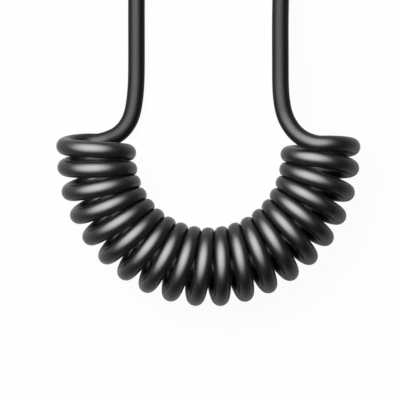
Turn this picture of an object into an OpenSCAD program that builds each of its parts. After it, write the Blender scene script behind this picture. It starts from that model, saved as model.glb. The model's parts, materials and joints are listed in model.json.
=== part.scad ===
// Coiled USB charging cable, lying on a table: a curly cord bent to a U, with a
// USB-A plug on its left end and a USB-C plug on its right end.
// Millimetres, +Z up. The origin is on the table, midway between the two plugs,
// and both plugs point along +Y. The coil lies behind them, towards -Y.

/* [Cord] */
// Outer diameter of the jacket
cord_d = 4.2; // [3.6:0.1:4.4]
// Diameter of the four wires' bundle inside the jacket
core_d = 3; // [2.6:0.1:3.2]
// Diameter of one insulated wire
wire_d = 0.8; // [0.6:0.05:0.9]
// Diameter of the bare copper at a wire's end
copper_d = 0.4; // [0.2:0.05:0.5]
// Gap between neighbouring wires where they leave the jacket
wire_gap = 0.2; // [0.1:0.05:0.3]
// Width of a solder bead
solder_w = 0.9; // [0.8:0.05:1]

/* [Coil] */
// Outer diameter of the coil
coil_d = 20; // [16:0.2:24]
// Radius to which the coil's own axis is bent
bend_r = 28; // [24:0.5:34]
// How far each end of the coil runs on, straight, past the half circle
coil_leg = 5.3; // [3:0.1:8]
// How far the bend's centre lies behind the plugs' middle
coil_back = 120; // [115:1:125]

/* [Plug layout] */
// Width across both plugs as they lie side by side
plug_spread = 51; // [46:0.5:56]

/* [USB-A shell] */
// Width of the folded shell
a_shell_w = 12; // [11.5:0.1:12.5]
// Height of the folded shell
a_shell_h = 4.5; // [4.3:0.1:4.8]
// Thickness of the shell's sheet
a_shell_t = 0.3; // [0.2:0.05:0.4]
// Outside radius of the shell's folds
a_shell_r = 0.6; // [0.5:0.05:0.9]
// Length of shell that stands out of the grip
a_shell_out = 12; // [11.5:0.1:13]
// Length of shell that sits inside the grip
a_shell_in = 6.5; // [5:0.1:8]
// Width of each latch window
a_window_w = 2.5; // [2:0.1:3]
// Length of each latch window
a_window_len = 2; // [1.5:0.1:2.5]
// Distance between the middles of the two windows of one face
a_window_gap = 4.5; // [4:0.1:5.5]
// Distance from the shell's mouth to a window
a_window_back = 5.16; // [4.5:0.02:5.6]
// Width of the seam along the underside
seam_w = 0.08; // [0.05:0.01:0.12]

/* [USB-A contacts and tongue] */
// Thickness of the plastic tongue
a_tongue_t = 1.9; // [1.7:0.05:2]
// Depth of the mouth over the tongue
a_mouth_deep = 9.5; // [8.5:0.1:10.5]
// How far the tongue's tip lies inside the shell's mouth
a_tongue_back = 0.9; // [0.6:0.1:1.2]
// Width of a contact
a_contact_w = 1; // [0.8:0.05:1.2]
// Thickness of a contact
a_contact_t = 0.25; // [0.15:0.01:0.3]
// How far a contact stands proud of the tongue
a_contact_proud = 0.08; // [0.04:0.01:0.12]
// Distance between the two inner contacts
a_inner_gap = 2; // [1.8:0.1:2.3]
// Distance between the two outer contacts
a_outer_gap = 7; // [6.6:0.1:7.4]
// How far the outer contacts' tips lie inside the shell's mouth
a_contact_back = 1.8; // [1.5:0.1:2.2]
// How much further back the inner contacts' tips lie
a_late_mate = 1; // [0.6:0.1:1.4]
// Length of the solder tails behind the tongue
a_tail_len = 2.5; // [2:0.1:3]

/* [USB-A grip] */
// Width of the grip
a_grip_w = 16; // [15.4:0.1:17]
// Thickness of the grip
a_grip_h = 8; // [7.4:0.1:9]
// Length of the grip, without the strain relief
a_grip_len = 21; // [19.5:0.5:24]
// Length of the strain relief
a_relief_len = 13; // [10:0.5:16]
// Length of the shield can behind the shell
a_can_len = 8; // [7.4:0.1:9]

/* [USB-C shell] */
// Width of the drawn shell
c_shell_w = 8.25; // [8.1:0.05:8.4]
// Height of the drawn shell
c_shell_h = 2.4; // [2.35:0.05:2.5]
// Thickness of the shell's wall
c_shell_t = 0.2; // [0.15:0.01:0.22]
// Length of shell that stands out of the grip
c_shell_out = 6.65; // [6.4:0.05:7]
// Length of shell that sits inside the grip
c_shell_in = 4.5; // [4:0.1:5]

/* [USB-C contacts and insulator] */
// Width of the mouth slot
c_mouth_w = 6.7; // [6.6:0.02:6.8]
// Height of the mouth slot
c_mouth_h = 0.78; // [0.72:0.02:0.8]
// Depth of the mouth slot
c_mouth_deep = 5.5; // [5:0.1:5.8]
// How far the insulator's front lies inside the shell's mouth
c_insulator_back = 0.4; // [0.3:0.05:0.6]
// Distance from one contact to the next
c_pitch = 0.5; // [0.48:0.01:0.52]
// Width of a contact
c_contact_w = 0.25; // [0.2:0.01:0.28]
// Thickness of a contact
c_contact_t = 0.12; // [0.08:0.01:0.15]
// How far a contact's crown reaches into the mouth slot
c_crown_in = 0.15; // [0.1:0.01:0.2]
// Thickness of the latch plate
c_latch_t = 0.2; // [0.15:0.01:0.25]
// Thickness of the ground springs
c_spring_t = 0.1; // [0.06:0.01:0.12]

/* [USB-C paddle card] */
// Thickness of the paddle card
card_t = 0.8; // [0.7:0.05:0.9]
// Length of the paddle card
card_len = 6.5; // [6:0.1:6.8]
// Length of the resistor
resistor_len = 1; // [0.6:0.1:1.2]

/* [USB-C grip] */
// Width of the grip
c_grip_w = 12; // [11:0.1:13]
// Thickness of the grip
c_grip_h = 6.5; // [6:0.1:7.5]
// Length of the grip, without the strain relief
c_grip_len = 19; // [17.5:0.5:22]
// Length of the strain relief
c_relief_len = 11; // [9:0.5:14]
// Length of the shield can behind the shell
c_can_len = 8.5; // [8.2:0.1:9.5]

/* [Grips and strain reliefs] */
// Thickness of the shield cans' sheet
can_t = 0.2; // [0.15:0.01:0.25]
// Length by which a can laps over its shell
can_lap = 1.5; // [1:0.1:2]
// Length of the crimp barrel round the jacket
crimp_len = 3; // [2.5:0.1:3.4]
// Radius of a grip's long edges
grip_r = 2.2; // [1.5:0.1:2.8]
// Radius round a grip's front face
front_r = 0.8; // [0.5:0.1:1]
// How much each flank draws in at a grip's waist
waist_in = 0.4; // [0.2:0.05:0.6]
// Length of the shoulder that runs down to the strain relief
shoulder_len = 3.4; // [2.6:0.1:4]
// Width of the finger grooves in the flanks
groove_w = 0.9; // [0.6:0.1:1.1]
// Depth of the finger grooves
groove_deep = 0.3; // [0.2:0.05:0.4]
// Distance from one finger groove to the next
groove_pitch = 1.8; // [1.5:0.1:2.2]
// Diameter of a strain relief where it leaves its grip
relief_d = 6.4; // [6:0.1:7.2]
// Diameter of a strain relief at its tip
relief_tip_d = 5.4; // [5.2:0.1:6]
// Thickness of the sleeve under the strain relief's slots
sleeve_t = 0.35; // [0.25:0.05:0.45]
// Width of a slot in a strain relief
slot_w = 0.9; // [0.7:0.05:1.1]
// Distance from one slot to the next
slot_pitch = 1.9; // [1.7:0.05:2.3]

/* [Hidden] */

$fn = 48;
past = 1;                        // how far a cutter reaches past the face that it cuts
slot_arc = 130;                  // degrees that one slot of a strain relief covers
relief_step = 0.15;              // step from a grip's shoulder down to its strain relief
grooves = 5;                     // finger grooves in each flank

// Where the plugs lie: each plug's own origin is the middle of its grip's front face
a_len = a_shell_out + a_grip_len + a_relief_len;
exit_y = -a_len / 2;
a_at = [-(plug_spread - a_grip_w) / 2, a_len / 2 - a_shell_out, a_grip_h / 2];
c_at = [(plug_spread - c_grip_w) / 2, exit_y + c_relief_len + c_grip_len, c_grip_h / 2];

// Stations along the USB-A plug, from its grip's front face back
a_cord_end = -a_shell_in - a_can_len;
a_inner_h = a_shell_h - 2 * a_shell_t;
a_tongue_top = a_tongue_t - a_inner_h / 2;
a_contact_top = a_tongue_top + a_contact_proud;
a_contact_x = [-a_outer_gap / 2, -a_inner_gap / 2, a_inner_gap / 2, a_outer_gap / 2];
a_contact_names = ["ground", "data_plus", "data_minus", "power"];
a_contact_tip = [for (i = [0:3]) a_shell_out - a_contact_back - (i == 1 || i == 2 ? a_late_mate : 0)];

// Stations along the USB-C plug, from its grip's front face back
c_cord_end = -c_shell_in - c_can_len;
c_inner_w = c_shell_w - 2 * c_shell_t;
c_inner_h = c_shell_h - 2 * c_shell_t;
c_spring_w = c_inner_w - c_inner_h - 0.25;
c_channel_top = c_inner_h / 2 - c_spring_t - 0.15;
c_front = c_shell_out - c_insulator_back;
c_mouth_floor = c_front - c_mouth_deep;
c_can_w = c_shell_w + 2 * can_t + 0.15;
c_can_h = card_t + 2 * (wire_d + 0.2) + 2 * can_t;
c_tail_len = 1.7;                // length of the contact tails that lie on the card
c_names = ["a1", "a4", "a5", "a6", "a7", "a9", "a12", "b1", "b4", "b9", "b12"];
c_place = [1, 4, 5, 6, 7, 9, 12, 12, 9, 4, 1];
c_side = [1, 1, 1, 1, 1, 1, 1, -1, -1, -1, -1];
c_pad_x = 2.4;                   // sideways place of the wires' pads on the card
c_arm_x = c_mouth_w / 2 + 0.02;  // inner flank of the latch's side arms
c_arm_w = 0.3;
card_w = c_shell_w - 0.65;
card_back = -c_shell_in - card_len;

// The wires: place in the bundle, and the order of the four colours
wire_step = (wire_d + wire_gap) / 2;
copper_lift = 0.02;              // solder under the bare copper
solder_len = 1.4;
wire_names = ["black", "green", "white", "red"];
wire_colours = ["#151515", "#2e8b45", "#e9e9e4", "#b3201c"];

// Middle line of the cord's straight ends, from each plug to the coil's end face.
// The first point is the cord's end in the plug, the second the strain relief's tip.
coil_face_y = coil_leg - coil_back;
usb_a_route = [
    [a_at.x, a_at.y + a_cord_end, a_at.z], [a_at.x, exit_y, a_at.z], [a_at.x, exit_y - 5, a_at.z - 0.2],
    [-17.5, -36, 3], [-17.6, -44, 2.3], [-17.8, -52, 2.1], [-18, -62, 2.1], [-18, -72, 2.1], [-18, -82, 2.1],
    [-18, -90, 2.1], [-18, -97, 2.1], [-18.2, -103.5, 2.1], [-18.6, -107, 2.1], [-19.3, -110, 2.1],
    [-20.5, -112.4, 2.1], [-22.8, coil_face_y, 2.3]
];
usb_c_route = [
    [c_at.x, c_at.y + c_cord_end, c_at.z], [c_at.x, exit_y, c_at.z], [c_at.x, exit_y - 5, c_at.z - 0.1],
    [19.4, -36, 2.6], [19.2, -44, 2.2], [18.9, -52, 2.1], [18.5, -60, 2.2], [18.3, -67, 2.8], [18.2, -74, 4.3],
    [18.1, -81, 6.6], [18, -88, 9.4], [18, -94, 11.8], [18, -99.5, 13.9], [18.1, -104, 15.4],
    [18.5, -107.5, 16.4], [19.2, -110.2, 17], [20.3, -112.4, 17.4], [22.2, coil_face_y, 17.6]
];

// One ring of a tube of diameter d and n sides: round the point at, square to the direction along
function ring(at, along, d, n) =
    let (v = along / norm(along), side = cross(v, [0, 0, 1]) / norm(cross(v, [0, 0, 1])), up = cross(side, v))
    [for (i = [0:n - 1]) at + d / 2 * (cos(360 * i / n) * side + sin(360 * i / n) * up)];

// A tube along a route, both its ends square to the plug's length
module tube(route, d, n) {
    last = len(route) - 1;
    points = [for (k = [0:last])
        let (along = k == 0 || k == last ? [0, sign(route[last].y - route[0].y), 0] : route[k + 1] - route[k - 1])
        each ring(route[k], k == 1 ? route[1] - route[0] : along, d, n)];
    walls = [for (k = [0:last - 1], i = [0:n - 1])
        [k * n + i, k * n + (i + 1) % n, (k + 1) * n + (i + 1) % n, (k + 1) * n + i]];
    polyhedron(points, concat([[for (i = [n - 1:-1:0]) i]], walls, [[for (i = [0:n - 1]) last * n + i]]));
}

// Flat outlines, across a plug: x to the right, y up
module rounded_rect(w, h, r) {
    square([w - 2 * r, h], center = true);
    square([w, h - 2 * r], center = true);
    for (sx = [-1, 1], sy = [-1, 1])
        translate([sx * (w / 2 - r), sy * (h / 2 - r)]) circle(r);
}

module racetrack(w, h) {
    square([w - h, h], center = true);
    for (sx = [-1, 1])
        translate([sx * (w - h) / 2, 0]) circle(h / 2);
}

// Draws a flat outline out along the plug, from station y0 to station y1
module along_plug(y0, y1) {
    translate([0, y1, 0]) rotate([90, 0, 0]) linear_extrude(y1 - y0) children();
}

// Draws a side outline, given as [y, z], out across the plug
module across_plug(x, w) {
    translate([x - w / 2, 0, 0]) rotate([90, 0, 90]) linear_extrude(w) children();
}

module block(x, y, z) {
    translate([x[0], y[0], z[0]]) cube([x[1] - x[0], y[1] - y[0], z[1] - z[0]]);
}

module at_usb_a() { translate(a_at) children(); }
module at_usb_c() { translate(c_at) children(); }

// The moulded grips and their strain reliefs

function mix(a, b, t) = a + (b - a) * t;

// One ring of a grip at station y: a rounded rectangle whose underside hangs down by foot
function grip_ring(w, h, r, y, foot) = [for (corner = [0:3], step = [0:6])
    let (a = 90 * corner + 15 * step, sx = corner % 3 == 0 ? 1 : -1, sz = corner < 2 ? 1 : -1)
    [sx * (w / 2 - r) + r * cos(a), y, sz * (h / 2 - r) + r * sin(a) - (sz < 0 ? foot : 0)]];

// How far a flank is drawn in at t, from 0 behind the front edge to 1 at the shoulder
function waist(t) = waist_in * pow(sin(180 * t), 2);

// Rings of a grip: round the front edge, along the waist, down the shoulder
function grip_rings(w, h, len) =
    let (body = len - front_r - shoulder_len, foot = 0.1)
    concat(
        [for (a = [0:22.5:90]) let (in = front_r * (1 - sin(a)))
            grip_ring(w - 2 * in, h - 2 * in, grip_r - in, -front_r * (1 - cos(a)), foot)],
        [for (t = [0.125:0.125:1])
            grip_ring(w - 2 * waist(t), h, grip_r, -front_r - body * t, foot)],
        [for (t = [0.125:0.125:1]) let (b = (1 - cos(180 * t)) / 2)
            grip_ring(mix(w, relief_d, b), mix(h, relief_d, b), mix(grip_r, relief_d / 2, b),
                shoulder_len * (1 - t) - len, foot * (1 - b))]);

module grip(w, h, len) {
    rings = grip_rings(w, h, len);
    n = len(rings[0]);
    last = len(rings) - 1;
    walls = [for (k = [0:last - 1], i = [0:n - 1])
        [k * n + i, (k + 1) * n + i, (k + 1) * n + (i + 1) % n, k * n + (i + 1) % n]];
    body = len - front_r - shoulder_len;
    difference() {
        polyhedron([for (r = rings) each r],
            concat([[for (i = [0:n - 1]) i]], walls, [[for (i = [n - 1:-1:0]) last * n + i]]));
        translate([-w, -2 * len, -h / 2 - past]) cube([2 * w, 3 * len, past]);
        for (side = [-1, 1], i = [0:grooves - 1])
            let (y = body / 2 + (i - (grooves - 1) / 2) * groove_pitch)
            translate([side * (w / 2 - waist(y / body) + groove_w / 2 - groove_deep), -front_r - y, -h])
                cylinder(h = 2 * h, d = groove_w, $fn = 24);
    }
}

// Tapered strain relief, with slots that alternate between its faces and its flanks
module strain_relief(len) {
    lip = 0.5;
    root = relief_d / 2 - relief_step;
    count = floor((len - 3 * lip) / slot_pitch);
    rotate([90, 0, 0]) difference() {
        rotate_extrude() polygon([[0, -lip], [root, -lip], [root, 0], [relief_tip_d / 2, len - lip],
            [relief_tip_d / 2 - lip / 2, len], [0, len]]);
        for (k = [0:count - 1], half = [0, 1])
            rotate(90 * (k % 2) + 180 * half - slot_arc / 2)
                rotate_extrude(angle = slot_arc)
                    translate([cord_d / 2 + sleeve_t, lip + k * slot_pitch]) square([relief_d, slot_w]);
    }
}

// A round hole or bar of diameter d along the plug, from station y0 to y1
module round_bar(y0, y1, d) {
    translate([0, y1, 0]) rotate([90, 0, 0]) cylinder(h = y1 - y0, d = d);
}

// The USB-A plug

module a_section() { rounded_rect(a_shell_w, a_shell_h, a_shell_r); }

// Outside of the shield can and its crimp barrel
module a_can_outside() {
    along_plug(a_cord_end, can_lap - a_shell_in)
        rounded_rect(a_shell_w + 2 * can_t, a_shell_h + 2 * can_t, a_shell_r + can_t);
    round_bar(a_cord_end - crimp_len, a_cord_end, cord_d + 2 * can_t);
}

// Side outline of a contact, its tip turned down into the tongue
module a_contact_outline(tip) {
    bottom = a_contact_top - a_contact_t;
    turn = 0.5;
    polygon([[-a_shell_in - a_tail_len, bottom], [tip - turn, bottom], [tip, bottom - a_contact_t],
        [tip, a_contact_top - a_contact_t], [tip - turn, a_contact_top], [-a_shell_in - a_tail_len, a_contact_top]]);
}

module a_contact(i) {
    across_plug(a_contact_x[i], a_contact_w) a_contact_outline(a_contact_tip[i]);
}

module a_wire(i) {
    x = a_contact_x[i];
    bundle = [sign(x) * wire_step, (abs(x) < a_outer_gap / 2 ? 1 : -1) * wire_step];
    tail_end = -a_shell_in - a_tail_len;
    z = a_contact_top + copper_d / 2 + copper_lift;
    bare = [x, tail_end - 0.4, z];
    tube([[bundle.x, a_cord_end, bundle.y], [bundle.x, a_cord_end + 1, bundle.y], bare - [0, 0.8, 0], bare], wire_d, 8);
    tube([bare - [0, 0.2, 0], bare + [0, 2, 0]], copper_d, 8);
    solder_bead([x, tail_end + 0.4, a_contact_top], 1);
}

// A solder bead that stands on a flat face, or hangs from one: at is the near end of its foot
module solder_bead(at, side) {
    translate(at) mirror([0, 0, side < 0 ? 1 : 0]) along_plug(0, solder_len)
        polygon([for (a = [0:30:180]) solder_w / 2 * [cos(a), sin(a)]]);
}

module usb_a_shell() {
    window_y = a_shell_out - a_window_back;
    color("#c6c8ca") at_usb_a() difference() {
        along_plug(-a_shell_in, a_shell_out) a_section();
        along_plug(-a_shell_in - past, a_shell_out + past)
            rounded_rect(a_shell_w - 2 * a_shell_t, a_inner_h, a_shell_r - a_shell_t);
        for (sx = [-1, 1])
            translate([sx * a_window_gap / 2 - a_window_w / 2, window_y - a_window_len, -a_shell_h])
                cube([a_window_w, a_window_len, 2 * a_shell_h]);
        translate([0, 0, -a_shell_h / 2 - past / 2]) linear_extrude(past) seam();
    }
}

// Plan of the seam along the shell's underside, with a dovetail at its middle
module seam() {
    tail_y = 3;
    dovetail = [[0, tail_y - 1], [0.9, tail_y - 1.4], [0.9, tail_y + 1.4], [0, tail_y + 1]];
    middle = seam_w / 2;
    translate([-middle, -a_shell_in - past]) square([seam_w, a_shell_in + past + tail_y - 1]);
    translate([-middle, tail_y + 1]) square([seam_w, a_shell_out + past - tail_y - 1]);
    for (k = [0:2])
        let (p = dovetail[k], q = dovetail[k + 1], n = seam_w * [p.y - q.y, q.x - p.x] / norm(q - p) / 2)
        polygon([p + n, q + n, q - n, p - n]);
    for (p = dovetail)
        translate(p) circle(d = seam_w);
}

module usb_a_tongue() {
    inner_w = a_shell_w - 2 * a_shell_t;
    side_gap = 0.1;
    pocket = 0.5;
    window_y = a_shell_out - a_window_back;
    color("#e9e8e2") at_usb_a() difference() {
        union() {
            along_plug(-a_shell_in, a_shell_out - a_mouth_deep)
                rounded_rect(inner_w, a_inner_h, a_shell_r - a_shell_t);
            along_plug(-a_shell_in, a_shell_out - a_tongue_back) intersection() {
                rounded_rect(inner_w - 2 * side_gap, a_inner_h, a_shell_r - a_shell_t);
                translate([-inner_w, a_tongue_top - a_inner_h]) square([2 * inner_w, a_inner_h]);
            }
        }
        for (i = [0:3])
            a_contact(i);
        // pockets that the socket's latch springs drop into, and the bevelled tip
        for (sx = [-1, 1])
            block([sx * a_window_gap / 2 - a_window_w / 2, sx * a_window_gap / 2 + a_window_w / 2],
                [window_y - a_window_len, window_y], [-a_inner_h / 2 - past, pocket - a_inner_h / 2]);
        across_plug(0, a_shell_w) translate([a_shell_out - a_tongue_back, a_tongue_top])
            rotate(45) square([0.5, 0.5], center = true);
    }
}

module usb_a_contact(i) { color("#d9b45b") at_usb_a() a_contact(i); }

module usb_a_shield_can() {
    color("#b9b6ae") at_usb_a() difference() {
        a_can_outside();
        along_plug(a_cord_end + can_t, past) a_section();
        round_bar(a_cord_end - past, a_cord_end + past, core_d);
        round_bar(a_cord_end - crimp_len - past, a_cord_end, cord_d);
    }
}

module usb_a_inner_mould() {
    color("#dcd9cf") at_usb_a() difference() {
        union() {
            along_plug(a_cord_end + can_t, -a_shell_in) a_section();
            round_bar(a_cord_end, a_cord_end + can_t, core_d);
        }
        for (i = [0:3]) {
            a_contact(i);
            a_wire(i);
        }
    }
}

module usb_a_wire(i) { color(wire_colours[i]) at_usb_a() a_wire(i); }

module usb_a_overmould() {
    color("#1b1b1d") at_usb_a() difference() {
        union() {
            grip(a_grip_w, a_grip_h, a_grip_len);
            translate([0, -a_grip_len, 0]) strain_relief(a_relief_len);
        }
        along_plug(-a_shell_in, past) a_section();
        a_can_outside();
        round_bar(-a_grip_len - a_relief_len - past, a_cord_end, cord_d);
    }
}

// The USB-C plug

module c_section() { racetrack(c_shell_w, c_shell_h); }

// Outside of the shield can, its lap over the shell and its crimp barrel
module c_can_outside() {
    along_plug(c_cord_end, -c_shell_in) rounded_rect(c_can_w, c_can_h, 3 * can_t);
    along_plug(-c_shell_in, can_lap - c_shell_in) racetrack(c_shell_w + 2 * can_t, c_shell_h + 2 * can_t);
    round_bar(c_cord_end - crimp_len, c_cord_end, cord_d + 2 * can_t);
}

// Side outline of a spring contact: tail on the card, arm over the mouth, crown and tip
module c_contact_outline() {
    foot = card_t / 2;
    crown = c_mouth_h / 2 - c_crown_in;
    under = [[-c_shell_in - c_tail_len, foot], [c_mouth_floor, foot], [c_front - 1.7, crown],
        [c_front - 1.3, crown], [c_front - 0.6, foot + 0.05]];
    polygon(concat(under, [for (i = [4:-1:0]) under[i] + [0, c_contact_t]]));
}

function c_contact_x(k) = (c_place[k] - 6.5) * c_pitch;

module c_contact(k) {
    mirror([0, 0, c_side[k] < 0 ? 1 : 0]) across_plug(c_contact_x(k), c_contact_w) c_contact_outline();
}

// Plan of the latch plate: a web at the back and a hooked spring arm down each side
module latch_outline() {
    web_len = 2.5;
    tip = c_front - 0.5;
    outer = c_arm_x + c_arm_w;
    translate([-outer, -c_shell_in]) square([2 * outer, web_len]);
    for (sx = [0, 1])
        mirror([sx, 0]) polygon([[c_arm_x, -c_shell_in + web_len / 2], [outer, -c_shell_in + web_len / 2],
            [outer, tip], [c_arm_x, tip], [c_arm_x - 0.4, tip - 0.4], [c_arm_x - 0.4, tip - 0.6], [c_arm_x, tip - 1.2]]);
}

module usb_c_shell() {
    color("#c9cbcd") at_usb_c() difference() {
        along_plug(-c_shell_in, c_shell_out) c_section();
        along_plug(-c_shell_in - past, c_shell_out + past) racetrack(c_inner_w, c_inner_h);
    }
}

module usb_c_insulator() {
    color("#202022") at_usb_c() difference() {
        along_plug(-c_shell_in, c_front) racetrack(c_inner_w, c_inner_h);
        along_plug(c_mouth_floor, c_front + past) racetrack(c_mouth_w, c_mouth_h);
        for (k = [0:len(c_names) - 1]) {
            c_contact(k);
            block([c_contact_x(k) - c_contact_w / 2 - 0.04, c_contact_x(k) + c_contact_w / 2 + 0.04],
                [c_mouth_floor, c_front - 0.3], c_side[k] > 0 ? [0, c_channel_top] : [-c_channel_top, 0]);
        }
        translate([0, 0, -c_latch_t / 2]) linear_extrude(c_latch_t) {
            latch_outline();
            for (sx = [-1, 1])
                translate([sx * (c_arm_x + c_arm_w + 0.05), c_front / 2]) square([0.1, c_front], center = true);
        }
        for (side = [0, 1])
            mirror([0, 0, side]) c_spring();
    }
}

module usb_c_latch() {
    color("#b4b6b8") at_usb_c() translate([0, 0, -c_latch_t / 2]) linear_extrude(c_latch_t) latch_outline();
}

// Ground spring: a plate under the shell's roof, its fingers bent down across the mouth
module c_spring() {
    plate_len = 3.4;
    finger_w = 0.7;
    roof = c_inner_h / 2;
    block([-c_spring_w / 2, c_spring_w / 2], [c_front - plate_len, c_front + c_spring_t], [roof - c_spring_t, roof]);
    for (x = [-2.2, -0.75, 0.75, 2.2])
        block([x - finger_w / 2, x + finger_w / 2], [c_front, c_front + c_spring_t], [roof / 2, roof]);
}

module usb_c_ground_spring(side) {
    color("#c2b88f") at_usb_c() mirror([0, 0, side < 0 ? 1 : 0]) c_spring();
}

module usb_c_contact(k) { color("#d9b45b") at_usb_c() c_contact(k); }

module paddle_card() {
    block([-card_w / 2, card_w / 2], [card_back, -c_shell_in], [-card_t / 2, card_t / 2]);
}

module usb_c_paddle_card() { color("#1f5a3a") at_usb_c() paddle_card(); }

module resistor() {
    y = -c_shell_in - c_tail_len - 0.6;
    block([-0.25, 0.25], [y - resistor_len, y], [card_t / 2, card_t / 2 + 0.35]);
}

module usb_c_resistor() { color("#2b2b2e") at_usb_c() resistor(); }

module c_wire(i) {
    side = i % 2 == 0 ? -1 : 1;
    x = (i < 2 ? -1 : 1) * c_pad_x;
    start = [sign(x) * wire_step, c_cord_end, side * wire_step];
    bare = [x, card_back + 1, side * (card_t / 2 + wire_d / 2 + 0.05)];
    down = [x, card_back + 1.6, side * (card_t / 2 + copper_d / 2 + copper_lift)];
    tube([start, start + [0, 0.3, 0], bare - [0, 1, 0], bare], wire_d, 8);
    tube([bare - [0, 0.2, 0], bare + [0, 0.1, 0], down, down + [0, 1.5, 0]], copper_d, 8);
    solder_bead([x, card_back + 1.8, side * card_t / 2], side);
}

module usb_c_wire(i) { color(wire_colours[i]) at_usb_c() c_wire(i); }

module usb_c_shield_can() {
    color("#b9b6ae") at_usb_c() difference() {
        c_can_outside();
        along_plug(c_cord_end + can_t, -c_shell_in - can_t)
            rounded_rect(c_can_w - 2 * can_t, c_can_h - 2 * can_t, 2 * can_t);
        along_plug(-c_shell_in - 2 * can_t, past) c_section();
        round_bar(c_cord_end - past, c_cord_end + past, core_d);
        round_bar(c_cord_end - crimp_len - past, c_cord_end, cord_d);
    }
}

module usb_c_inner_mould() {
    color("#dcd9cf") at_usb_c() difference() {
        union() {
            along_plug(c_cord_end + can_t, -c_shell_in - can_t)
                rounded_rect(c_can_w - 2 * can_t, c_can_h - 2 * can_t, 2 * can_t);
            along_plug(-c_shell_in - 2 * can_t, -c_shell_in) c_section();
            round_bar(c_cord_end, c_cord_end + 2 * can_t, core_d);
        }
        paddle_card();
        resistor();
        for (k = [0:len(c_names) - 1])
            c_contact(k);
        for (i = [0:3])
            c_wire(i);
    }
}

module usb_c_overmould() {
    color("#1b1b1d") at_usb_c() difference() {
        union() {
            grip(c_grip_w, c_grip_h, c_grip_len);
            translate([0, -c_grip_len, 0]) strain_relief(c_relief_len);
        }
        along_plug(-c_shell_in, past) c_section();
        c_can_outside();
        round_bar(-c_grip_len - c_relief_len - past, c_cord_end, cord_d);
    }
}

// The cord

module usb_a_tail() { color("#161617") tube(usb_a_route, cord_d, 12); }
module usb_c_tail() { color("#161617") tube(usb_c_route, cord_d, 12); }

// The coil's outer shape: one fat tube, bent to a half circle, with straight ends
module coil() {
    color("#161617") translate([0, -coil_back, coil_d / 2]) {
        rotate([0, 0, 180]) rotate_extrude(angle = 180, $fn = 96) translate([bend_r, 0]) circle(d = coil_d);
        for (side = [-1, 1])
            translate([side * bend_r, 0, 0]) rotate([-90, 0, 0]) cylinder(h = coil_leg, d = coil_d, $fn = 96);
    }
}

usb_a_shell();
usb_a_tongue();
for (i = [0:3])
    usb_a_contact(i);
usb_a_shield_can();
usb_a_inner_mould();
for (i = [0:3])
    usb_a_wire(i);
usb_a_overmould();
usb_c_shell();
usb_c_insulator();
usb_c_latch();
usb_c_ground_spring(1);  // usb_c_ground_spring_top
usb_c_ground_spring(-1);  // usb_c_ground_spring_bottom
for (k = [0:len(c_names) - 1])
    usb_c_contact(k);
usb_c_paddle_card();
usb_c_resistor();
usb_c_shield_can();
usb_c_inner_mould();
for (i = [0:3])
    usb_c_wire(i);
usb_c_overmould();
usb_a_tail();
coil();
usb_c_tail();
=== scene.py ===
"""Looks of a coiled charging cable that lies bent to a U, with a plug on each of its ends.

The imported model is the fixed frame, in metres: +Z up from the table, +Y the way both plugs point.
The cord is one mesh tube, wound by a formula between the two straight ends' chosen points. The
plugs keep their own solids, apart from the two moulded grips, and get procedural finishes.
"""

import json
import logging
import math
from dataclasses import dataclass, field
from enum import Enum

import bmesh
import bpy
import numpy as np
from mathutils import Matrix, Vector

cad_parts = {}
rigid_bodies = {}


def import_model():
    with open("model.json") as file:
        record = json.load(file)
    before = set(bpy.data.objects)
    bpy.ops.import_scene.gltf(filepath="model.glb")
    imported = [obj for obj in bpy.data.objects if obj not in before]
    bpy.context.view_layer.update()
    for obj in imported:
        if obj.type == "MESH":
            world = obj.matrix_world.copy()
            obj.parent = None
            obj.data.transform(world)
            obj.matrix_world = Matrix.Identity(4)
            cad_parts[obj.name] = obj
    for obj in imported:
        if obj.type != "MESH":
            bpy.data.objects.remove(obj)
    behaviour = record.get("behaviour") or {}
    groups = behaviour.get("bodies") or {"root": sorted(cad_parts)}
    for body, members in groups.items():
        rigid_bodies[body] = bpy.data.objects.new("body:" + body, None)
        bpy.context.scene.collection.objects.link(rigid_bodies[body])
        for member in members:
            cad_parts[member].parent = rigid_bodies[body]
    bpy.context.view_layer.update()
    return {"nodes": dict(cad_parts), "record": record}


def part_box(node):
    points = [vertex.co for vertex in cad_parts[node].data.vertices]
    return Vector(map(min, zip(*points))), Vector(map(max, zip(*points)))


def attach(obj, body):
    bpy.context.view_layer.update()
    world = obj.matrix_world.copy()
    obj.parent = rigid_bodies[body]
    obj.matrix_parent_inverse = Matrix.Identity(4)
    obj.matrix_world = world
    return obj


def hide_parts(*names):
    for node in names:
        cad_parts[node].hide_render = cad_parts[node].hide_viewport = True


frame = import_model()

Colour = tuple[float, float, float]
Point = tuple[float, float, float]

BODY = "root"
PLASTIC_IOR = 1.5
FEW_OCTAVES = 2.0
MORE_OCTAVES = 3.0

JACKET = ("cord_jacket",)
PLASTICS = (
    "moulded_grip", "white_insulator", "black_insulator", "inner_mould", "circuit_card", "resistor",
    "wire_black", "wire_green", "wire_white", "wire_red",
)
METALS = ("plated_shell", "tinned_sheet", "spring_bronze", "gold_contact")

log = logging.getLogger("coiled_cable")


class Side(Enum):
    """The two ends of the cord, by the plug that is on them."""

    USB_A = "usb_a"
    USB_C = "usb_c"


class Grain(Enum):
    """Ways in which a surface's fine grain runs."""

    EVEN = (1.0, 1.0, 1.0)
    ALONG_PLUG = (1.0, 0.06, 1.0)


class Bare(Enum):
    """Where a piece's insulation or glaze leaves its metal bare."""

    NOWHERE = "nowhere"
    WIRE_FRONT = "wire_front"
    BOTH_ENDS = "both_ends"


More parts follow.
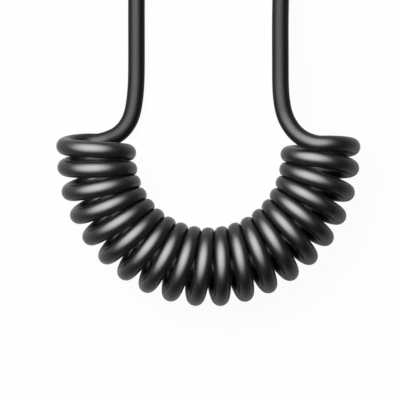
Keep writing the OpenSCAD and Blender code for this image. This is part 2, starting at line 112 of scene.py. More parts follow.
class FinishNodes:
    """Node tree of one material, with short calls for what each finish needs."""

    USUAL_NOISE = (0.3, 0.7)

    def __init__(self, name: str) -> None:
        """Start a material with a Principled surface.

        Args:
            name: The material's name.
        """
        self.material = bpy.data.materials.new(name)
        self.material.use_nodes = True
        self.tree = self.material.node_tree
        self.surface = self.tree.nodes["Principled BSDF"]

    def add(self, kind: str, **settings: object) -> bpy.types.Node:
        """Add a node and set its own properties.

        Args:
            kind: The node's Blender type.
            settings: The node's properties and their values.

        Returns:
            The new node.
        """
        node = self.tree.nodes.new(kind)
        for key, value in settings.items():
            setattr(node, key, value)
        return node

    def join(self, out: bpy.types.NodeSocket, into: bpy.types.NodeSocket) -> None:
        """Link one socket into another."""
        self.tree.links.new(out, into)

    def set_surface(self, **values: object) -> None:
        """Set constant values straight on the surface's own sockets.

        Args:
            values: Socket names with underscores for spaces, and their values.
        """
        for key, value in values.items():
            self.surface.inputs[key.replace("_", " ")].default_value = value

    def place(self, stretch: Point) -> bpy.types.NodeSocket:
        """Read the object coordinates, stretched along each axis.

        Args:
            stretch: The factor for each axis.

        Returns:
            The coordinates' socket.
        """
        coordinates = self.add("ShaderNodeTexCoord")
        scaled = self.add("ShaderNodeMapping", vector_type="POINT")
        scaled.inputs["Scale"].default_value = stretch
        self.join(coordinates.outputs["Object"], scaled.inputs["Vector"])
        return scaled.outputs["Vector"]

    def noise(self, at: bpy.types.NodeSocket, scale: float, octaves: float) -> bpy.types.NodeSocket:
        """Return a noise value from 0 to 1.

        Args:
            at: The coordinates to read.
            scale: How many times a metre the noise repeats.
            octaves: How many finer layers it has.

        Returns:
            The noise's value socket.
        """
        texture = self.add("ShaderNodeTexNoise")
        texture.inputs["Scale"].default_value = scale
        texture.inputs["Detail"].default_value = octaves
        self.join(at, texture.inputs["Vector"])
        return texture.outputs["Fac"]

    def spread(self, value: bpy.types.NodeSocket, low: float, high: float) -> bpy.types.NodeSocket:
        """Map noise from its usual middle span onto a range.

        Args:
            value: The noise's value socket.
            low: The range's low end.
            high: The range's high end.

        Returns:
            The mapped value's socket.
        """
        mapped = self.add("ShaderNodeMapRange", clamp=True)
        ends = zip(("From Min", "From Max", "To Min", "To Max"), (*self.USUAL_NOISE, low, high))
        for key, number in ends:
            mapped.inputs[key].default_value = number
        self.join(value, mapped.inputs["Value"])
        return mapped.outputs["Result"]

    def blend(
        self, share: bpy.types.NodeSocket, first: Colour | bpy.types.NodeSocket, second: Colour
    ) -> bpy.types.NodeSocket:
        """Return a colour between two, by a share from 0 to 1.

        Args:
            share: The second colour's share.
            first: The colour where the share is 0, or its socket.
            second: The colour where it is 1.

        Returns:
            The colour's socket.
        """
        mixed = self.add("ShaderNodeMix", data_type="RGBA")
        colour_a, colour_b = (s for s in mixed.inputs if s.type == "RGBA")
        if isinstance(first, bpy.types.NodeSocket):
            self.join(first, colour_a)
        else:
            colour_a.default_value = (*first, 1)
        colour_b.default_value = (*second, 1)
        self.join(share, mixed.inputs["Factor"])
        return next(s for s in mixed.outputs if s.type == "RGBA")

    def maths(self, kind: str, *values: bpy.types.NodeSocket | float) -> bpy.types.NodeSocket:
        """Return the result of one sum on sockets and numbers.

        Args:
            kind: The Math node's operation.
            values: Its inputs, in order.

        Returns:
            The result's socket.
        """
        node = self.add("ShaderNodeMath", operation=kind)
        for socket, value in zip(node.inputs, values):
            if isinstance(value, bpy.types.NodeSocket):
                self.join(value, socket)
            else:
                socket.default_value = value
        return node.outputs[0]

    def mix_shaders(
        self, share: bpy.types.NodeSocket, first: bpy.types.NodeSocket, second: bpy.types.NodeSocket
    ) -> bpy.types.NodeSocket:
        """Return a mix of two shaders.

        Args:
            share: The second shader's share, from 0 to 1.
            first: The shader where the share is 0.
            second: The shader where it is 1.

        Returns:
            The mix's socket.
        """
        mixed = self.add("ShaderNodeMixShader")
        for source, socket in zip((share, first, second), mixed.inputs):
            self.join(source, socket)
        return mixed.outputs[0]

    def bump(self, height: bpy.types.NodeSocket, strength: float, depth: float) -> None:
        """Roughen the surface's normal.

        Args:
            height: The height, from 0 to 1.
            strength: The bump's strength.
            depth: The height's real depth in metres.
        """
        bumped = self.add("ShaderNodeBump")
        bumped.inputs["Strength"].default_value = strength
        bumped.inputs["Distance"].default_value = depth
        self.join(height, bumped.inputs["Height"])
        self.join(bumped.outputs["Normal"], self.surface.inputs["Normal"])


@dataclass(frozen=True)
class JacketFinish:
    """Satin black jacket: drawn lengthways, with a fine grain and faint handling marks."""

    slot: str = "cord_jacket"
    colour: Colour = (0.0018, 0.0018, 0.0019)
    worn_colour: Colour = (0.0032, 0.0031, 0.0030)
    roughness: tuple[float, float] = (0.38, 0.42)
    straight_and_wound_coat: tuple[float, float] = (0.0, 0.45)
    coat_roughness: float = 0.32
    base_ior: float = 1.165
    grain_scale: float = 2600.0
    patch_scale: float = 160.0
    grain_strength: float = 0.12
    grain_depth: float = 0.00002

    def build(self) -> bpy.types.Material:
        """Build the jacket's material, whose coat fades out from the coil to the straight ends.

        Returns:
            The material.
        """
        nodes = FinishNodes(self.slot)
        nodes.set_surface(IOR=self.base_ior, Coat_Roughness=self.coat_roughness, Coat_IOR=PLASTIC_IOR)
        drawn = nodes.add("ShaderNodeAttribute", attribute_name=CurlyCord.DRAWN)
        patches = nodes.noise(drawn.outputs["Vector"], self.patch_scale, MORE_OCTAVES)
        grain = nodes.noise(nodes.place(Grain.EVEN.value), self.grain_scale, FEW_OCTAVES)
        colour = nodes.blend(patches, self.colour, self.worn_colour)
        nodes.join(colour, nodes.surface.inputs["Base Color"])
        nodes.join(nodes.spread(patches, *self.roughness), nodes.surface.inputs["Roughness"])
        wound = nodes.add("ShaderNodeAttribute", attribute_name=CurlyCord.WOUND)
        weight = nodes.add("ShaderNodeMapRange")
        for key, number in zip(("To Min", "To Max"), self.straight_and_wound_coat):
            weight.inputs[key].default_value = number
        nodes.join(wound.outputs["Fac"], weight.inputs["Value"])
        nodes.join(weight.outputs["Result"], nodes.surface.inputs["Coat Weight"])
        nodes.bump(grain, self.grain_strength, self.grain_depth)
        return nodes.material


@dataclass(frozen=True)
class MouldedFinish:
    """Plastic, from the grips' matt moulding to the wires' smooth insulation and the glazed resistor.

    Patches much larger than the grain vary its colour and gloss. A wire is bare metal at its
    soldered front, and the resistor on both of its ends.
    """

    slot: str
    colour: Colour
    second_colour: Colour
    roughness: tuple[float, float] = (0.5, 0.62)
    grain_scale: float = 3200.0
    patch_size: float = 12.0
    grain_depth: float = 0.00003
    strength: float = 0.35
    milky: float = 0.0
    milky_depth: float = 0.0008
    bare: Bare = Bare.NOWHERE
    metal: Colour = (0.70, 0.68, 0.64)
    wire_bare: float = 0.0022
    end_bare: float = 0.0002

    def bare_share(self, nodes: FinishNodes) -> bpy.types.NodeSocket:
        """Return 1 where the metal is bare and 0 elsewhere.

        Args:
            nodes: The material's nodes.

        Returns:
            The share's socket.
        """
        axes = nodes.add("ShaderNodeSeparateXYZ")
        nodes.join(nodes.add("ShaderNodeTexCoord").outputs["Object"], axes.inputs[0])
        if self.bare is Bare.WIRE_FRONT:
            fronts = (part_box(f"{side.value}_{self.slot}")[1].y for side in Side)
            a_start, c_start = (front - self.wire_bare for front in fronts)
            on_right = nodes.maths("GREATER_THAN", axes.outputs["X"], 0.0)
            start = nodes.maths("MULTIPLY_ADD", on_right, c_start - a_start, a_start)
            return nodes.maths("GREATER_THAN", axes.outputs["Y"], start)
        low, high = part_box("usb_c_resistor")
        off = nodes.maths("ABSOLUTE", nodes.maths("SUBTRACT", axes.outputs["Y"], (low.y + high.y) / 2))
        return nodes.maths("GREATER_THAN", off, (high.y - low.y) / 2 - self.end_bare)

    def build(self) -> bpy.types.Material:
        """Build the plastic's material.

        Returns:
            The material.
        """
        nodes = FinishNodes(self.slot)
        nodes.set_surface(IOR=PLASTIC_IOR)
        nodes.set_surface(Subsurface_Weight=self.milky, Subsurface_Scale=self.milky_depth)
        at = nodes.place(Grain.EVEN.value)
        patches = nodes.noise(at, self.grain_scale / self.patch_size, MORE_OCTAVES)
        colour = nodes.blend(patches, self.colour, self.second_colour)
        if self.bare is not Bare.NOWHERE:
            share = self.bare_share(nodes)
            colour = nodes.blend(share, colour, self.metal)
            nodes.join(share, nodes.surface.inputs["Metallic"])
        nodes.join(colour, nodes.surface.inputs["Base Color"])
        nodes.join(nodes.spread(patches, *self.roughness), nodes.surface.inputs["Roughness"])
        nodes.bump(nodes.noise(at, self.grain_scale, FEW_OCTAVES), self.strength, self.grain_depth)
        return nodes.material


@dataclass(frozen=True)
class MetalFinish:
    """Plated or tinned sheet metal, with drawing marks along the plug."""

    slot: str
    colour: Colour
    second_colour: Colour
    roughness: tuple[float, float] = (0.14, 0.24)
    mark_scale: float = 5200.0
    cloud_size: float = 10.0
    strength: float = 0.05
    mark_depth: float = 0.000004

    def build(self) -> bpy.types.Material:
        """Build the metal's material.

        Returns:
            The material.
        """
        nodes = FinishNodes(self.slot)
        nodes.set_surface(Metallic=1.0)
        marks = nodes.noise(nodes.place(Grain.ALONG_PLUG.value), self.mark_scale, MORE_OCTAVES)
        cloud_scale = self.mark_scale / self.cloud_size
        clouds = nodes.noise(nodes.place(Grain.EVEN.value), cloud_scale, FEW_OCTAVES)
        colour = nodes.blend(clouds, self.colour, self.second_colour)
        nodes.join(colour, nodes.surface.inputs["Base Color"])
        nodes.join(nodes.spread(marks, *self.roughness), nodes.surface.inputs["Roughness"])
        nodes.bump(marks, self.strength, self.mark_depth)
        return nodes.material


@dataclass(frozen=True)
class CurlyCord:
    """The whole cord: a straight end, nineteen turns wound on a bent axis, and a straight end.

    The straight ends' points are listed, from each plug to the coil. The turns follow a
    formula: theta runs along the cord, 0 at the first turn's outermost point, and each turn moves
    on by pitch round the bend. The two outermost lobes reach a little further out than the rest.
    Neighbours press each other flat where the bend crowds them.
    """

    DRAWN = "drawn_along"
    WOUND = "wound"

    diameter: float = 0.0042
    length: float = 1.2
    bend: tuple[float, float] = (0.02795, 0.02779)
    turn_radius: float = 0.00782
    turn_height: float = 0.0079
    end_reach: float = 0.00025
    pitch: float = math.radians(10.02)
    first_lobe: float = math.radians(-5.36)
    lean_marks: tuple[float, ...] = (-90, 0, 180, 360)
    a_lean: tuple[float, ...] = (0.55, 1.45, -1.8, 0)
    c_lean: tuple[float, ...] = (-1.45, -1.45, 0.95, 0)
    turns: int = 19
    points_per_turn: int = 24
    curve_steps: int = 8
    ring_step: float = 0.0008
    path_step: int = 4
    sides: int = 32
    free_share: float = 0.8
    mark_stretch: float = 6.0
    gloss_fade: float = 0.016
    gloss_lead: tuple[float, float] = (0.004, 0.014)
    a_end: tuple[Point, ...] = (
        (-0.0175, -0.0035, 0.004), (-0.0175, -0.023, 0.004), (-0.0175, -0.028, 0.0038),
        (-0.0175, -0.036, 0.003), (-0.0176, -0.044, 0.0023), (-0.0178, -0.052, 0.0021),
        (-0.018, -0.062, 0.0021), (-0.018, -0.072, 0.0021), (-0.018, -0.082, 0.0021),
        (-0.018, -0.09, 0.0021), (-0.018, -0.097, 0.0021), (-0.0182, -0.1035, 0.0021),
        (-0.0186, -0.107, 0.0021), (-0.0193, -0.11, 0.0021), (-0.0205, -0.1124, 0.0021),
        (-0.0228, -0.1147, 0.0023),
    )
    c_end: tuple[Point, ...] = (
        (0.0195, -0.006, 0.00325), (0.0195, -0.023, 0.00325), (0.0195, -0.028, 0.00315),
        (0.0194, -0.036, 0.0026), (0.0192, -0.044, 0.0022), (0.0189, -0.052, 0.0021),
        (0.0185, -0.06, 0.0022), (0.0183, -0.067, 0.0028), (0.0182, -0.074, 0.0043),
        (0.0181, -0.081, 0.0066), (0.018, -0.088, 0.0094), (0.018, -0.094, 0.0118),
        (0.018, -0.0995, 0.0139), (0.0181, -0.104, 0.0154), (0.0185, -0.1075, 0.0164),
        (0.0192, -0.1102, 0.017), (0.0203, -0.1124, 0.0174), (0.0222, -0.1147, 0.0176),
    )
    a_join: Point = (-0.0257, -0.116, 0.0021)
    c_join: Point = (0.0248, -0.1163, 0.0178)
    centre: Point = field(default_factory=lambda: CurlyCord.centre_of_bend())

    @staticmethod
    def centre_of_bend() -> Point:
        """Return the middle of the bend, at the height of the coil's axis, from the coil's solid."""
        low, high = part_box("coil")
        return ((low.x + high.x) / 2, low.y + (high.x - low.x) / 2, (low.z + high.z) / 2)

    def bearing(self, theta: np.ndarray) -> np.ndarray:
        """Return how far round the bend the cord has come at theta.

        Args:
            theta: Angles along the turns, in radians.

        Returns:
            Angles round the bend: 0 on its left, a right angle at its lowest point, where it is
            farthest from the plugs, and two right angles on its right.
        """
        last = 2 * math.pi * self.turns
        lean = self.end_lean(theta, self.a_lean) + self.end_lean(last - theta, self.c_lean)
        return self.first_lobe + self.pitch * theta / (2 * math.pi) + lean

    def end_lean(self, gap: np.ndarray, leans: tuple[float, ...]) -> np.ndarray:
        """Return how far the turns next to an end lean round the bend.

        Args:
            gap: Angles along the turns, counted from the end's outermost point.
            leans: The lean in degrees at each of the lean marks.

        Returns:
            The lean in radians, eased from mark to mark.
        """
        marks, leans = np.radians(self.lean_marks), np.radians(leans)
        k = np.clip(np.searchsorted(marks, gap, side="right") - 1, 0, len(marks) - 2)
        share = np.clip((gap - marks[k]) / (marks[k + 1] - marks[k]), 0, 1)
        return leans[k] + share**2 * (3 - 2 * share) * (leans[k + 1] - leans[k])

    def on_turns(self, theta: np.ndarray) -> np.ndarray:
        """Return points of the cord's middle line on its turns.

        Args:
            theta: Angles along the turns, in radians.

        Returns:
            An array of points, one row each.
        """
        round_bend, out = self.bearing(theta), self.turn_radius * np.cos(theta)
        from_end = np.minimum(np.abs(theta), np.abs(theta - 2 * math.pi * self.turns))
        out = out + self.end_reach * np.where(from_end < math.pi / 2, np.cos(theta) ** 2, 0)
        return np.stack([
            self.centre[0] - (self.bend[0] + out) * np.cos(round_bend),
            self.centre[1] - (self.bend[1] + out) * np.sin(round_bend),
            self.centre[2] + self.turn_height * np.sin(theta),
        ], axis=1)

    def chosen_points(self) -> tuple[np.ndarray, np.ndarray]:
        """Return the points that the cord runs through, and theta at each.

        Returns:
            The points, and their theta, which is two turns past the last one on the straight ends.
        """
        quarter, whole = math.pi / 2, 2 * math.pi * self.turns
        count = round((whole + 2 * quarter) / (2 * math.pi) * self.points_per_turn) + 1
        theta = np.linspace(-quarter, whole + quarter, count)
        before = np.array([*self.a_end, self.a_join])
        after = np.array([self.c_join, *reversed(self.c_end)])
        points = np.concatenate([before, self.on_turns(theta), after])
        outside = whole + 2 * (2 * math.pi)
        marks = np.concatenate([np.full(len(before), -outside), theta, np.full(len(after), outside)])
        return points, marks

    def smooth_line(self) -> tuple[np.ndarray, np.ndarray]:
        """Run one smooth curve through the chosen points, in even steps.

        Returns:
            The points of the cord's middle line, and theta at each.
        """
        points, marks = self.chosen_points()
        at = run_along(points)
        bends = natural_spline_bends(at, points)
        fine = np.linspace(0, at[-1], self.curve_steps * len(points))
        run = run_along(spline_at(at, points, bends, fine))
        even = np.linspace(0, run[-1], round(run[-1] / self.ring_step) + 1)
        place = np.interp(even, run, fine)
        return spline_at(at, points, bends, place), np.interp(place, at, marks)

    def pressed(self, vertices: np.ndarray, theta: np.ndarray) -> np.ndarray:
        """Press each turn's flanks in, where its neighbours leave it less room than its diameter.

        Args:
            vertices: The rings' vertices, as rings by sides by three.
            theta: Theta at each ring.

        Returns:
            The vertices with the crowded ones moved round the bend, towards their own turn.
        """
        turn, last = 2 * math.pi, 2 * math.pi * self.turns + math.pi / 2
        here = self.bearing(theta)[:, None]
        x = (self.centre[0] - vertices[..., 0]) / self.bend[0]
        y = (self.centre[1] - vertices[..., 1]) / self.bend[1]
        off = (np.arctan2(y, x) - here + math.pi) % turn - math.pi
        for step, exists in ((turn, theta + turn <= last), (-turn, theta - turn >= -math.pi / 2)):
            limit = np.abs(self.bearing(theta + step)[:, None] - here) / 2
            free = self.free_share * limit
            over = np.clip((np.abs(off) - free) / (limit - free), 0, None)
            held = free + (limit - free) * (1 - np.exp(-over))
            crowded = exists[:, None] & (off * step > 0) & (np.abs(off) > free)
            off = np.where(crowded, np.sign(off) * held, off)
        reach, angle = np.hypot(x, y), here + off
        moved = vertices.copy()
        on_turn = ((theta > -math.pi / 2) & (theta < last))[:, None]
        for axis, share in ((0, np.cos(angle)), (1, np.sin(angle))):
            held_at = self.centre[axis] - self.bend[axis] * reach * share
            moved[..., axis] = np.where(on_turn, held_at, moved[..., axis])
        return moved

    def build(self, finish: bpy.types.Material) -> bpy.types.Object:
        """Args:
            finish: The jacket's material.

        Returns:
            The cord.
        """
        line, theta = self.smooth_line()
        run = run_along(line)
        side, up = carried_frames(line)
        angle = np.linspace(0, 2 * math.pi, self.sides, endpoint=False)
        on_side, on_up = (wave(angle)[None, :, None] for wave in (np.cos, np.sin))
        across = on_side * side[:, None] + on_up * up[:, None]
        rings = self.pressed(line[:, None] + self.diameter / 2 * across, theta)
        mesh = tube_mesh("cord_jacket", rings)
        self.mark_jacket(mesh, run, theta, angle)
        cord = bpy.data.objects.new("cord_jacket", mesh)
        bpy.context.scene.collection.objects.link(cord)
        cord.data.materials.append(finish)
        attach(cord, BODY)
        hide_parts("usb_a_tail", "coil", "usb_c_tail")
        log.info("cord: %.3f m along its middle, %d rings", run[-1], len(line))
        return cord

    def mark_jacket(
        self, mesh: bpy.types.Mesh, run: np.ndarray, theta: np.ndarray, angle: np.ndarray
    ) -> None:
        """Store what the jacket's finish reads: places drawn out lengthways, and the coil's share.

        Args:
            mesh: The cord's mesh, whose vertices lie ring after ring.
            run: How far along the cord each ring is.
            theta: Theta at each ring.
            angle: Each side's angle round the cord.
        """
        drawn = np.stack([
            np.tile(np.cos(angle) * self.diameter, len(run)),
            np.tile(np.sin(angle) * self.diameter, len(run)),
            np.repeat(run / self.mark_stretch, self.sides),
        ], axis=1)
        layer = mesh.attributes.new(self.DRAWN, "FLOAT_VECTOR", "POINT")
        layer.data.foreach_set("vector", drawn.astype(np.float32).ravel())
        first = run[theta >= -math.pi / 2][0]
        last = run[theta <= 2 * math.pi * self.turns + math.pi / 2][-1]
        inside = np.minimum(run - first + self.gloss_lead[0], last - run + self.gloss_lead[1])
        wound = np.clip(inside / self.gloss_fade, 0, 1)
        layer = mesh.attributes.new(self.WOUND, "FLOAT", "POINT")
        layer.data.foreach_set("value", np.repeat(wound, self.sides).astype(np.float32))


def run_along(line: np.ndarray) -> np.ndarray:
    """Return how far along a line each of its points is."""
    return np.concatenate([[0], np.cumsum(np.linalg.norm(np.diff(line, axis=0), axis=1))])


def natural_spline_bends(at: np.ndarray, points: np.ndarray) -> np.ndarray:
    """Solve for the second derivatives of the natural cubic spline through points.

    Args:
        at: Each point's place along the curve.
        points: The points, one row each.

    Returns:
        The second derivatives, one row each.
    """
    gaps = np.diff(at)
    size = len(at)
    matrix = np.eye(size)
    right = np.zeros_like(points)
    inner = np.arange(1, size - 1)
    matrix[inner, inner - 1] = gaps[:-1]
    matrix[inner, inner] = 2 * (gaps[:-1] + gaps[1:])
    matrix[inner, inner + 1] = gaps[1:]
    slopes = np.diff(points, axis=0) / gaps[:, None]
    right[1:-1] = 6 * np.diff(slopes, axis=0)
    return np.linalg.solve(matrix, right)


def spline_at(at: np.ndarray, points: np.ndarray, bends: np.ndarray, place: np.ndarray) -> np.ndarray:
    """Return the points of a cubic spline.

    Args:
        at: Each given point's place along the curve.
        points: The given points.
        bends: The second derivatives at the given points.
        place: The places to read.

    Returns:
        One point for each place.
    """
    k = np.clip(np.searchsorted(at, place, side="right") - 1, 0, len(at) - 2)
    gap = (at[k + 1] - at[k])[:, None]
    a = (at[k + 1] - place)[:, None] / gap
    b = 1 - a
    curve = ((a**3 - a) * bends[k] + (b**3 - b) * bends[k + 1]) * gap**2 / 6
    return a * points[k] + b * points[k + 1] + curve


def carried_frames(line: np.ndarray) -> tuple[np.ndarray, np.ndarray]:
    """Carry a pair of directions across a line along it without twist.

    Args:
        line: The line's points.

    Returns:
        Two arrays of unit vectors, both square to the line.
    """
    along = np.gradient(line, axis=0)
    along /= np.linalg.norm(along, axis=1)[:, None]
    side = np.empty_like(line)
    held = np.cross(along[0], (0, 0, 1))
    for k, direction in enumerate(along):
        held = held - direction * (held @ direction)
        held = held / np.linalg.norm(held)
        side[k] = held
    return side, np.cross(side, along)


def tube_mesh(name: str, rings: np.ndarray) -> bpy.types.Mesh:
    """Join rings of vertices to one closed tube.

    Args:
        name: The mesh's name.
        rings: The vertices, as rings by sides by three.

    Returns:
        The mesh, with smooth walls and a flat cap on each end.
    """
    count, sides, _ = rings.shape
    k, i = np.meshgrid(np.arange(count - 1), np.arange(sides), indexing="ij")
    j = (i + 1) % sides
    walls = np.stack([k * sides + i, k * sides + j, (k + 1) * sides + j, (k + 1) * sides + i], axis=-1)
    caps = [list(range(sides - 1, -1, -1)), list(range((count - 1) * sides, count * sides))]
    mesh = bpy.data.meshes.new(name)
    mesh.from_pydata(rings.reshape(-1, 3).tolist(), [], walls.reshape(-1, 4).tolist() + caps)
    mesh.validate()
    mesh.polygons.foreach_set("use_smooth", [True] * (len(mesh.polygons) - 2) + [False] * 2)
    mesh.update()
    return mesh


@dataclass(frozen=True)
class Plug:
    """One plug: its own solids, which get their finish by what they are, and its moulded grip."""

    side: Side
    same_point: float = 0.0000005
    crease: float = math.radians(33)

    def dress(self, finishes: dict[str, bpy.types.Material]) -> None:
        """Give each of the plug's nodes the material of its slot.

        Args:
            finishes: Each slot's material.
        """
        slots = {part["node"]: part["material_slot"] for part in frame["record"]["subparts"]}
        for name, node in frame["nodes"].items():
            if name.startswith(self.side.value) and not name.endswith(("_tail", "_overmould")):
                node.data.materials.clear()
                node.data.materials.append(finishes[slots[name]])
                log.info("%s: %s", name, slots[name])
        self.grip(finishes["moulded_grip"])

    def grip(self, finish: bpy.types.Material) -> bpy.types.Object:
        """Build the grip and strain relief with their curved walls as smooth as a mould leaves them.

        Args:
            finish: The moulding's material.

        Returns:
            The grip.
        """
        solid = f"{self.side.value}_overmould"
        mesh = bmesh.new()
        mesh.from_mesh(frame["nodes"][solid].data)
        bmesh.ops.remove_doubles(mesh, verts=mesh.verts, dist=self.same_point)
        for edge in mesh.edges:
            edge.smooth = edge.is_manifold and edge.calc_face_angle() < self.crease
        for face in mesh.faces:
            face.smooth = True
        data = bpy.data.meshes.new(f"{self.side.value}_grip")
        mesh.to_mesh(data)
        mesh.free()
        grip = bpy.data.objects.new(data.name, data)
        bpy.context.scene.collection.objects.link(grip)
        data.materials.append(finish)
        even = grip.modifiers.new("even_walls", "WEIGHTED_NORMAL")
        even.keep_sharp = True
        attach(grip, BODY)
        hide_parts(solid)
        log.info("%s: %d faces", grip.name, len(data.polygons))
        return grip


@dataclass(frozen=True)
class Lamp:
    """One round area lamp, turned to the middle of the coil.

    Its glow is how bright its face looks, where 1 is white. A lamp with slots shows only as a
    soft-edged reflection, brightest in its middle, and only in what has those slots.
    """

    name: str
    place: Point
    size: float
    glow: float
    slots: tuple[str, ...] = ()

    def build(self, middle: Point) -> bpy.types.Object:
        """Hang the lamp and turn it.

        Args:
            middle: The point that the lamp is turned to; its place is counted from there.

        Returns:
            The lamp.
        """
        data = bpy.data.lights.new(self.name, "AREA")
        data.shape, data.size = "DISK", self.size
        data.energy = self.glow * math.pi**2 * self.size**2 / 4
        lamp = bpy.data.objects.new(self.name, data)
        lamp.location = Vector(middle) + Vector(self.place)
        lamp.rotation_euler = Vector(self.place).to_track_quat("Z", "Y").to_euler()
        lamp.visible_camera = False
        lamp.visible_diffuse, lamp.visible_glossy = not self.slots, bool(self.slots)
        if self.slots:
            self.fade(data)
            lamp.light_linking.receiver_collection = self.receivers()
        bpy.context.scene.collection.objects.link(lamp)
        log.info("%s: %.2f m wide, %.2f m away", self.name, self.size, Vector(self.place).length)
        return lamp

    def receivers(self) -> bpy.types.Collection:
        """Find the objects that the lamp shows in, by their materials' names without a number.

        Returns:
            A collection of these objects.
        """
        lit = bpy.data.collections.new(self.name + "_receivers")
        for piece in (p for p in bpy.data.objects if p.type == "MESH"):
            names = [m.name.split(".")[0] for m in piece.data.materials if m]
            if any(name in self.slots for name in names):
                lit.objects.link(piece)
        return lit

    def fade(self, data: bpy.types.AreaLight) -> None:
        """Let the lamp's glow fall off smoothly from its middle to its edge.

        Args:
            data: The lamp's own settings, whose face has coordinates from 0 to 1.
        """
        middle, edge = (0.5, 0.5, 0.0), 0.5
        data.use_nodes = True
        tree = data.node_tree
        across = tree.nodes.new("ShaderNodeNewGeometry")
        away = tree.nodes.new("ShaderNodeVectorMath")
        away.operation = "DISTANCE"
        away.inputs[1].default_value = middle
        falloff = tree.nodes.new("ShaderNodeMapRange")
        falloff.interpolation_type = "SMOOTHSTEP"
        for key, number in (("From Min", 0.0), ("From Max", edge), ("To Min", 1.0), ("To Max", 0.0)):
            falloff.inputs[key].default_value = number
        tree.links.new(across.outputs["Parametric"], away.inputs[0])
        tree.links.new(away.outputs["Value"], falloff.inputs["Value"])
        tree.links.new(falloff.outputs["Result"], tree.nodes["Emission"].inputs["Strength"])


@dataclass(frozen=True)
class Studio:
    """White table, soft light from high on the left, and a camera that looks straight down."""

    view_width: float = 0.1
    view_centre: tuple[float, float] = (-0.002075, -0.13105)
    focus_height: float = 0.0099
    lens: float = 1000.0
    sensor: float = 36.0
    clip_ratio: float = 100.0
    table_radius: float = 14.0
    table_sides: int = 96
    inner_ring: float = 1.0
    wall_height: float = 1.6
    cove_steps: int = 6
    lit_place: tuple[float, float] = (0.0, -0.12)
    lamps: tuple[Lamp, ...] = (
        Lamp("soft_lamp", (-0.265, 0.315, 0.686), 0.46, 13.0),
        Lamp("jacket_panel", (-0.105, 0.12, 0.28), 1.15, 28.0, JACKET),
        Lamp("plastic_panel", (-0.126, 0.22, 0.27), 0.9, 5.0, PLASTICS),
        Lamp("metal_panel", (-0.1, 0.1, 0.6), 2.2, 0.75, METALS),
    )
    sky: float = 0.05
    table_grey: float = 0.82
    shadow_share: float = 0.04
    mirrored_share: float = 0.7

    def camera(self) -> bpy.types.Object:
        """Set up the camera, which looks straight down on the coil.

        Returns:
            The camera.
        """
        data = bpy.data.cameras.new("camera")
        data.lens, data.sensor_width = self.lens, self.sensor
        distance = self.view_width * self.lens / self.sensor
        data.clip_start, data.clip_end = distance / self.clip_ratio, distance * self.clip_ratio
        camera = bpy.data.objects.new("camera", data)
        camera.location = (*self.view_centre, self.focus_height + distance)
        bpy.context.scene.collection.objects.link(camera)
        bpy.context.scene.camera = camera
        return camera

    def world(self) -> None:
        """Fill the room with a low, even light."""
        world = bpy.data.worlds.new("room")
        world.use_nodes = True
        world.node_tree.nodes["Background"].inputs["Color"].default_value = (self.sky,) * 3 + (1,)
        bpy.context.scene.world = world

    def table(self) -> bpy.types.Object:
        """Lay the white table, which curves up to a low wall far off.

        Returns:
            The table.
        """
        cove, sides = self.wall_height / 2, self.table_sides
        flat = self.table_radius - cove
        profile = [(self.inner_ring, 0.0), (flat, 0.0)]
        profile += [
            (flat + cove * math.sin(a), cove - cove * math.cos(a))
            for a in np.linspace(0, math.pi / 2, self.cove_steps + 1)[1:]
        ]
        profile.append((self.table_radius, self.wall_height))
        vertices = [
            (r * math.cos(2 * math.pi * i / sides), r * math.sin(2 * math.pi * i / sides), z)
            for r, z in profile for i in range(sides)
        ]
        vertices.append((0.0, 0.0, 0.0))
        faces = [(len(vertices) - 1, i, (i + 1) % sides) for i in range(sides)]
        for k in range(0, (len(profile) - 1) * sides, sides):
            steps = ((i, (i + 1) % sides) for i in range(sides))
            faces += [(k + i, k + sides + i, k + sides + j, k + j) for i, j in steps]
        mesh = bpy.data.meshes.new("table")
        mesh.from_pydata(vertices, [], faces)
        mesh.update()
        table = bpy.data.objects.new("table", mesh)
        table.data.materials.append(self.table_finish())
        bpy.context.scene.collection.objects.link(table)
        return table

    def table_finish(self) -> bpy.types.Material:
        """Build the table's material: white to the eye and in reflections, with a light shadow.

        Returns:
            The material.
        """
        nodes = FinishNodes("white_table")
        out = nodes.tree.nodes["Material Output"]
        nodes.tree.nodes.remove(nodes.surface)
        sight = nodes.add("ShaderNodeLightPath").outputs
        in_view = sight["Is Camera Ray"]
        seen = in_view
        for name in ("Is Glossy Ray", "Is Transmission Ray"):
            seen = nodes.maths("MAXIMUM", seen, sight[name])
        lit = nodes.add("ShaderNodeBsdfDiffuse")
        lit.inputs["Color"].default_value = (self.table_grey,) * 3 + (1,)
        shaded = nodes.add("ShaderNodeBsdfDiffuse")
        shaded.inputs["Color"].default_value = (1, 1, 1, 1)
        glow = nodes.add("ShaderNodeEmission")
        glow.inputs["Strength"].default_value = 1.0
        less_in_view = self.shadow_share - self.mirrored_share
        share = nodes.maths("MULTIPLY_ADD", in_view, less_in_view, self.mirrored_share)
        white = nodes.mix_shaders(share, glow.outputs[0], shaded.outputs[0])
        nodes.join(nodes.mix_shaders(seen, lit.outputs[0], white), out.inputs["Surface"])
        return nodes.material

    def build(self) -> None:
        """Light the object and set the plain colour transform."""
        bpy.context.scene.view_settings.view_transform = "Standard"
        self.world()
        for lamp in self.lamps:
            lamp.build((*self.lit_place, self.focus_height))
        self.table()


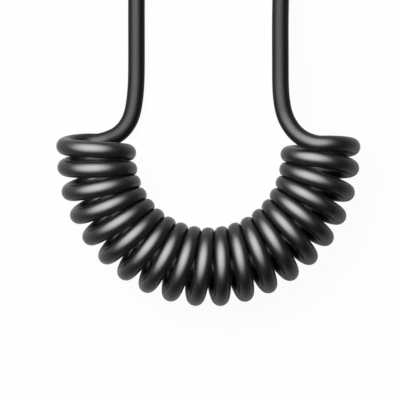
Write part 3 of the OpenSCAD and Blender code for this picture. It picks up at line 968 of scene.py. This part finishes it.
def plug_finishes() -> dict[str, bpy.types.Material]:
    """Build the plugs' finishes.

    Returns:
        The material of each of the record's slots but the jacket's.
    """
    plastics = [
        MouldedFinish("moulded_grip", (0.016, 0.016, 0.017), (0.024, 0.024, 0.025)),
        MouldedFinish(
            "white_insulator", (0.80, 0.79, 0.74), (0.84, 0.83, 0.79), (0.28, 0.36), strength=0.1,
        ),
        MouldedFinish(
            "black_insulator", (0.018, 0.018, 0.02), (0.026, 0.026, 0.028), (0.3, 0.4), strength=0.1,
        ),
        MouldedFinish("inner_mould", (0.70, 0.68, 0.62), (0.76, 0.74, 0.69), milky=0.3),
        MouldedFinish("circuit_card", (0.012, 0.10, 0.05), (0.02, 0.15, 0.08), (0.25, 0.4)),
        MouldedFinish(
            "resistor", (0.03, 0.03, 0.033), (0.05, 0.05, 0.054), (0.2, 0.3), bare=Bare.BOTH_ENDS,
        ),
    ]
    colours = {
        "wire_black": ((0.015, 0.015, 0.015), (0.022, 0.022, 0.022)),
        "wire_green": ((0.02, 0.24, 0.06), (0.03, 0.30, 0.09)),
        "wire_white": ((0.76, 0.76, 0.72), (0.82, 0.82, 0.78)),
        "wire_red": ((0.42, 0.014, 0.01), (0.52, 0.02, 0.015)),
    }
    plastics += [
        MouldedFinish(slot, *pair, (0.3, 0.4), strength=0.1, bare=Bare.WIRE_FRONT)
        for slot, pair in colours.items()
    ]
    metals = [
        MetalFinish("plated_shell", (0.72, 0.725, 0.73), (0.77, 0.775, 0.78)),
        MetalFinish("tinned_sheet", (0.60, 0.59, 0.56), (0.66, 0.65, 0.62), (0.28, 0.42)),
        MetalFinish("spring_bronze", (0.64, 0.55, 0.36), (0.70, 0.62, 0.42), (0.22, 0.34)),
        MetalFinish("gold_contact", (0.80, 0.61, 0.26), (0.86, 0.68, 0.33), (0.16, 0.26)),
    ]
    return {finish.slot: finish.build() for finish in (*plastics, *metals)}


def main() -> None:
    """Build the camera, the cord, the plugs and the studio, in that order."""
    logging.basicConfig(level=logging.INFO, format="%(name)s: %(message)s")
    studio = Studio()
    studio.camera()
    CurlyCord().build(JacketFinish().build())
    finishes = plug_finishes()
    for side in Side:
        Plug(side).dress(finishes)
    studio.build()


if __name__ == "__main__":
    main()
